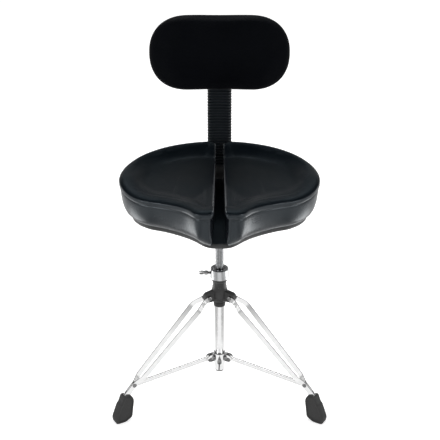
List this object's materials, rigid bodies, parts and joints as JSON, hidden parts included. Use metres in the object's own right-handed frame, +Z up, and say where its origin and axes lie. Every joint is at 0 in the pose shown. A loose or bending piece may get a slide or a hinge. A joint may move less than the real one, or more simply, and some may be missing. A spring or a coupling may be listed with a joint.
{
  "type": "drum throne",
  "caption": "Drummer's throne: a split padded saddle with a sliding backrest on a threaded spindle, carried by a folding tripod of paired strap legs with rubber boots.",
  "frame": {"origin": "middle of the bounding box's footprint, on the floor under the boots", "axes": "+Z up; the sitter faces -Y, so the nose of the saddle points to -Y and the backrest and rear leg are at +Y; +X is on the right as seen from the front"},
  "size_m": [0.5072, 0.4656, 0.8865],
  "materials": {
    "chrome": "polished plating",
    "black_casting": "satin black powder coat on a casting",
    "black_steel": "satin black paint on steel",
    "dark_zinc": "dark zinc",
    "brass": "turned",
    "black_plastic": "fine moulded grain",
    "board_plastic": "moulded dark grey",
    "black_rubber": "matte moulded",
    "black_vinyl": "black upholstery cover over foam"
  },
  "bodies": {
    "tripod": {"top_casting": "black_casting", "spindle_nut": "brass", "lower_ring": "black_plastic", "centre_tube": "chrome", "tube_end_cap": "black_plastic", "casting_screw": "dark_zinc", "lock_collar": "chrome", "lock_pin": "dark_zinc"},
    "lock_bolt": {"lock_wing_bolt": "chrome"},
    "leg_left": {"leg_left_strap_1": "chrome", "leg_left_strap_2": "chrome", "leg_left_pivot": "chrome", "leg_left_rivet_1": "dark_zinc", "leg_left_rivet_2": "dark_zinc", "leg_left_boot": "black_rubber"},
    "leg_right": {"leg_right_strap_1": "chrome", "leg_right_strap_2": "chrome", "leg_right_pivot": "chrome", "leg_right_rivet_1": "dark_zinc", "leg_right_rivet_2": "dark_zinc", "leg_right_boot": "black_rubber"},
    "leg_rear": {"leg_rear_strap_1": "chrome", "leg_rear_strap_2": "chrome", "leg_rear_pivot": "chrome", "leg_rear_rivet_1": "dark_zinc", "leg_rear_rivet_2": "dark_zinc", "leg_rear_boot": "black_rubber"},
    "spider": {"spider_casting": "chrome", "spider_pin_left": "dark_zinc", "spider_pin_right": "dark_zinc", "spider_pin_rear": "dark_zinc"},
    "spider_bolt": {"spider_wing_bolt": "chrome"},
    "left_strut": {"strut_left": "chrome"},
    "right_strut": {"strut_right": "chrome"},
    "rear_strut": {"strut_rear": "chrome"},
    "spindle": {"threaded_spindle": "chrome", "spindle_washer": "dark_zinc"},
    "seat": {"seat_board": "board_plastic", "seat_cushion_left": "black_vinyl", "seat_cushion_right": "black_vinyl", "mount_plate": "black_steel", "seat_socket": "black_casting", "socket_bolt": "dark_zinc", "bar_guide": "black_steel"},
    "bar_clamp": {"bar_knob": "black_plastic"},
    "back_bar": {"backrest_bar": "black_steel", "spine_cover": "black_rubber"},
    "backrest": {"backrest_cushion": "black_vinyl", "backrest_shell": "black_plastic", "backrest_carriage": "black_steel"},
    "back_clamp": {"backrest_knob": "black_plastic"}
  },
  "joints": [
    {"name": "leg_left_fold", "type": "hinge", "parent": "tripod", "child": "leg_left", "pos_m": [-0.02685, -0.06933, 0.268], "axis": [0.5, -0.866, 0], "range_deg": [0, 34]},
    {"name": "leg_right_fold", "type": "hinge", "parent": "tripod", "child": "leg_right", "pos_m": [0.02685, -0.06933, 0.268], "axis": [0.5, 0.866, 0], "range_deg": [0, 34]},
    {"name": "leg_rear_fold", "type": "hinge", "parent": "tripod", "child": "leg_rear", "pos_m": [0, -0.02283, 0.268], "axis": [-1, 0, 0], "range_deg": [0, 34]},
    {"name": "spider_slide", "type": "slide", "parent": "tripod", "child": "spider", "axis": [0, 0, 1], "range_m": [0, 0.1]},
    {"name": "strut_left_fold", "type": "hinge", "parent": "spider", "child": "left_strut", "pos_m": [-0.02338, -0.06733, 0.1], "axis": [0.5, -0.866, 0], "range_deg": [0, 67]},
    {"name": "strut_right_fold", "type": "hinge", "parent": "spider", "child": "right_strut", "pos_m": [0.02338, -0.06733, 0.1], "axis": [0.5, 0.866, 0], "range_deg": [0, 67]},
    {"name": "strut_rear_fold", "type": "hinge", "parent": "spider", "child": "rear_strut", "pos_m": [0, -0.02683, 0.1], "axis": [-1, 0, 0], "range_deg": [0, 67]},
    {"name": "spider_bolt_turn", "type": "hinge", "parent": "spider", "child": "spider_bolt", "pos_m": [0, -0.06883, 0.092], "axis": [0, -1, 0], "continuous": true},
    {"name": "lock_bolt_turn", "type": "hinge", "parent": "tripod", "child": "lock_bolt", "pos_m": [-0.02135, -0.05383, 0.3253], "axis": [-1, 0, 0], "continuous": true},
    {"name": "seat_height", "type": "slide", "parent": "tripod", "child": "spindle", "axis": [0, 0, 1], "range_m": [-0.08, 0.07]},
    {"name": "seat_swivel", "type": "hinge", "parent": "spindle", "child": "seat", "pos_m": [0, -0.05383, 0.45], "axis": [0, 0, 1], "continuous": true},
    {"name": "backrest_depth", "type": "slide", "parent": "seat", "child": "back_bar", "axis": [0, 1, 0], "range_m": [0, 0.04]},
    {"name": "bar_clamp_turn", "type": "hinge", "parent": "seat", "child": "bar_clamp", "pos_m": [0, 0.07217, 0.4531], "axis": [0, 0, -1], "continuous": true},
    {"name": "backrest_height", "type": "slide", "parent": "back_bar", "child": "backrest", "axis": [0, 0, 1], "range_m": [-0.06, 0], "deforming": ["spine_cover"]},
    {"name": "back_clamp_turn", "type": "hinge", "parent": "backrest", "child": "back_clamp", "pos_m": [0, 0.18987, 0.7465], "axis": [0, 1, 0], "continuous": true}
  ],
  "couplings": [
    {"joint": "leg_right_fold", "follows": "leg_left_fold", "ratio": 1},
    {"joint": "leg_rear_fold", "follows": "leg_left_fold", "ratio": 1},
    {"joint": "spider_slide", "follows": "leg_left_fold", "m_per_rad": 0.16794},
    {"joint": "strut_left_fold", "follows": "leg_left_fold", "ratio": 1.966},
    {"joint": "strut_right_fold", "follows": "leg_left_fold", "ratio": 1.966},
    {"joint": "strut_rear_fold", "follows": "leg_left_fold", "ratio": 1.966}
  ]
}
